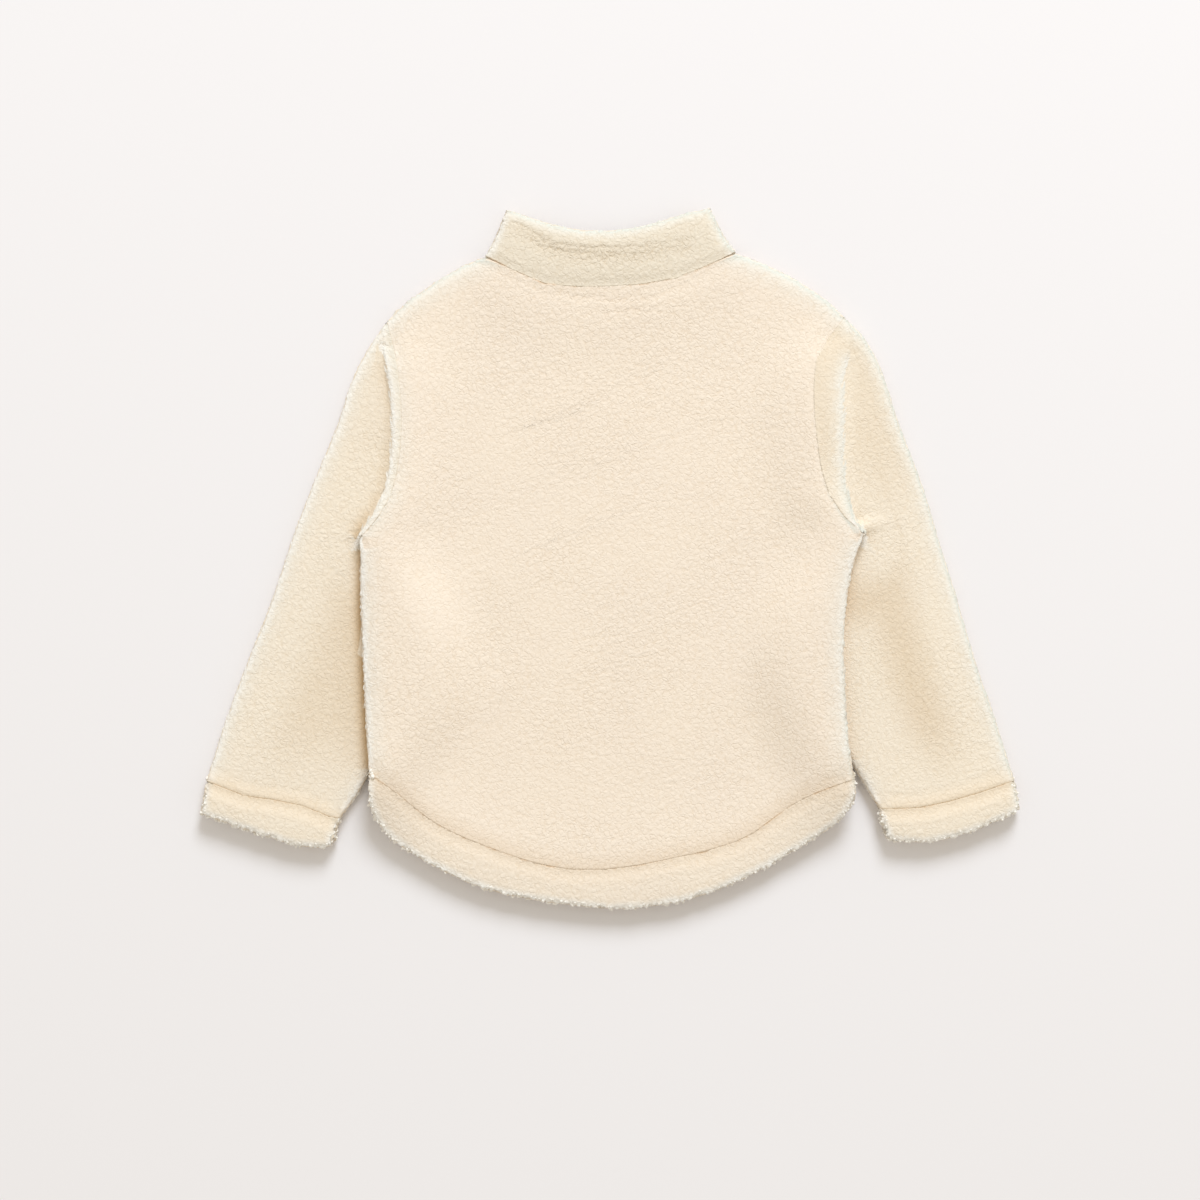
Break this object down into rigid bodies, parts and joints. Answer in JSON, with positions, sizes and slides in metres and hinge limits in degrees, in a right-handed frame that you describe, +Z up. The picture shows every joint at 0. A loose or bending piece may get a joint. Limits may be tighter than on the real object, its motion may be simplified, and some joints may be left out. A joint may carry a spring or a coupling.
{
  "type": "sherpa fleece pullover",
  "caption": "Long-sleeved child's pullover of sherpa fleece with a standing collar, a curved hem band and cuff bands, laid flat on its front with its back showing.",
  "frame": {"origin": "middle of the footprint, on the table that the pullover lies on", "axes": "+Z up off the table, towards the viewer; +Y towards the collar; +X to the right of the picture, along the longest side, from cuff to cuff"},
  "size_m": [0.6564, 0.5606, 0.0286],
  "materials": {
    "back": "cream sherpa pile, matt",
    "front": "cream sherpa pile, matt",
    "sleeves": "cream sherpa pile, matt",
    "bands": "doubled cream sherpa, matt",
    "collar": "doubled cream sherpa, matt"
  },
  "bodies": {
    "root": {"back": "back", "front": "front", "sleeve_left": "sleeves", "sleeve_right": "sleeves", "cuff_left": "bands", "cuff_right": "bands", "collar": "collar", "hem_band_back": "bands", "hem_band_front": "bands"}
  },
  "joints": []
}
